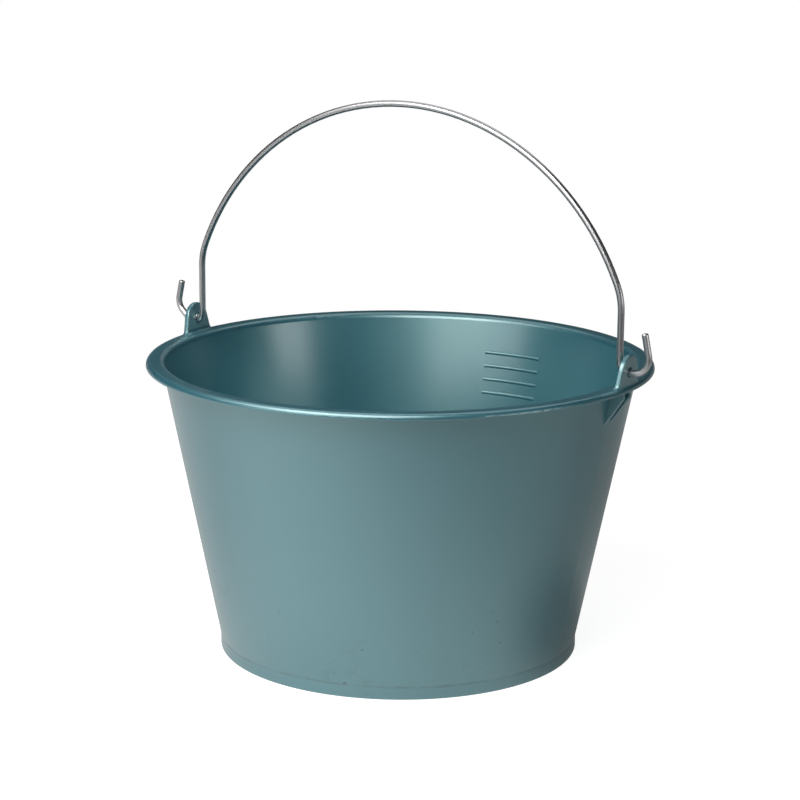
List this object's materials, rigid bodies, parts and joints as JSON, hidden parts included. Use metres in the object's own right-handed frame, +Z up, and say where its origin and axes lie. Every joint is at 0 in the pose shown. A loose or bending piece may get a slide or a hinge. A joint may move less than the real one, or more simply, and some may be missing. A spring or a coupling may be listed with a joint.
{
  "type": "bucket",
  "caption": "Round tapered plastic bucket with a flanged rim, moulded ears and a swinging bail bent from one steel wire.",
  "frame": {"origin": "middle of the foot ring, on the ground", "axes": "+Z up; X through the two ears, which is the bail's hinge line; +Y towards the level marks inside"},
  "size_m": [0.3694, 0.3418, 0.3722],
  "materials": {
    "moulded_plastic": "satin, pearly teal grey, coloured through",
    "galvanised_wire": "bright drawn and galvanised"
  },
  "bodies": {
    "bucket": {"bucket_body": "moulded_plastic"},
    "bail": {"wire_bail": "galvanised_wire"}
  },
  "joints": [
    {"name": "bail_swing", "type": "hinge", "parent": "bucket", "child": "bail", "pos_m": [0, 0, 0.2083], "axis": [1, 0, 0], "range_deg": [-92, 92]}
  ]
}
